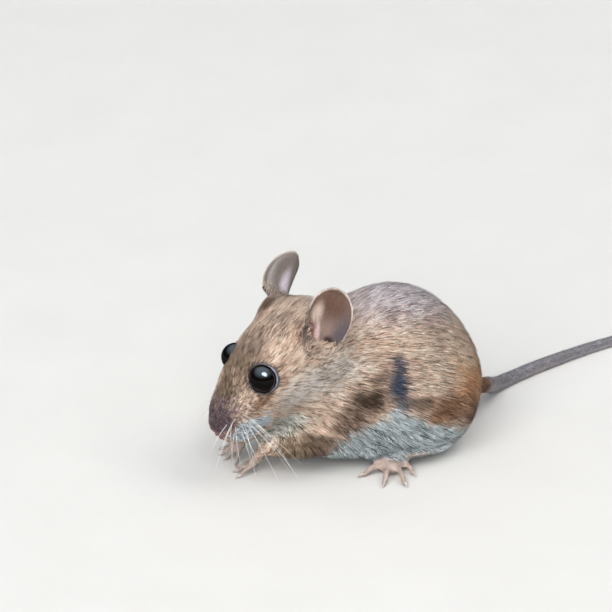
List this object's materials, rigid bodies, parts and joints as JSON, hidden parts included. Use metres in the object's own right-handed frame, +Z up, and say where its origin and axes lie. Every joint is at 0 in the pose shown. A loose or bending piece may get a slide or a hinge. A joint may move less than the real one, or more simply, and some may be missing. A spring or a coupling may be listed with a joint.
{
  "type": "wood mouse",
  "caption": "Life-size still model of a long-tailed field mouse, crouched with its head lowered over its paws, large ears raised and long thin tail laid out behind.",
  "frame": {"origin": "middle of the footprint, on the floor, with the tail included", "axes": "+X the way the trunk faces, +Y the animal's left, +Z up"},
  "size_m": [0.115, 0.0432, 0.0354],
  "materials": {
    "coat": "soft sandy brown fur, paler below",
    "bare_skin": "matt pinkish skin with sparse short hairs",
    "ear_skin": "thin matt brown skin",
    "eye": "wet black gloss"
  },
  "bodies": {
    "root": {"trunk": "coat", "neck": "coat", "head": "coat", "leg_front_left": "coat", "leg_front_right": "coat", "leg_hind_left": "coat", "leg_hind_right": "coat", "nose": "bare_skin", "tail_root": "bare_skin", "tail_middle": "bare_skin", "tail_tip": "bare_skin", "ear_left": "ear_skin", "ear_right": "ear_skin", "eye_left": "eye", "eye_right": "eye"}
  },
  "joints": []
}
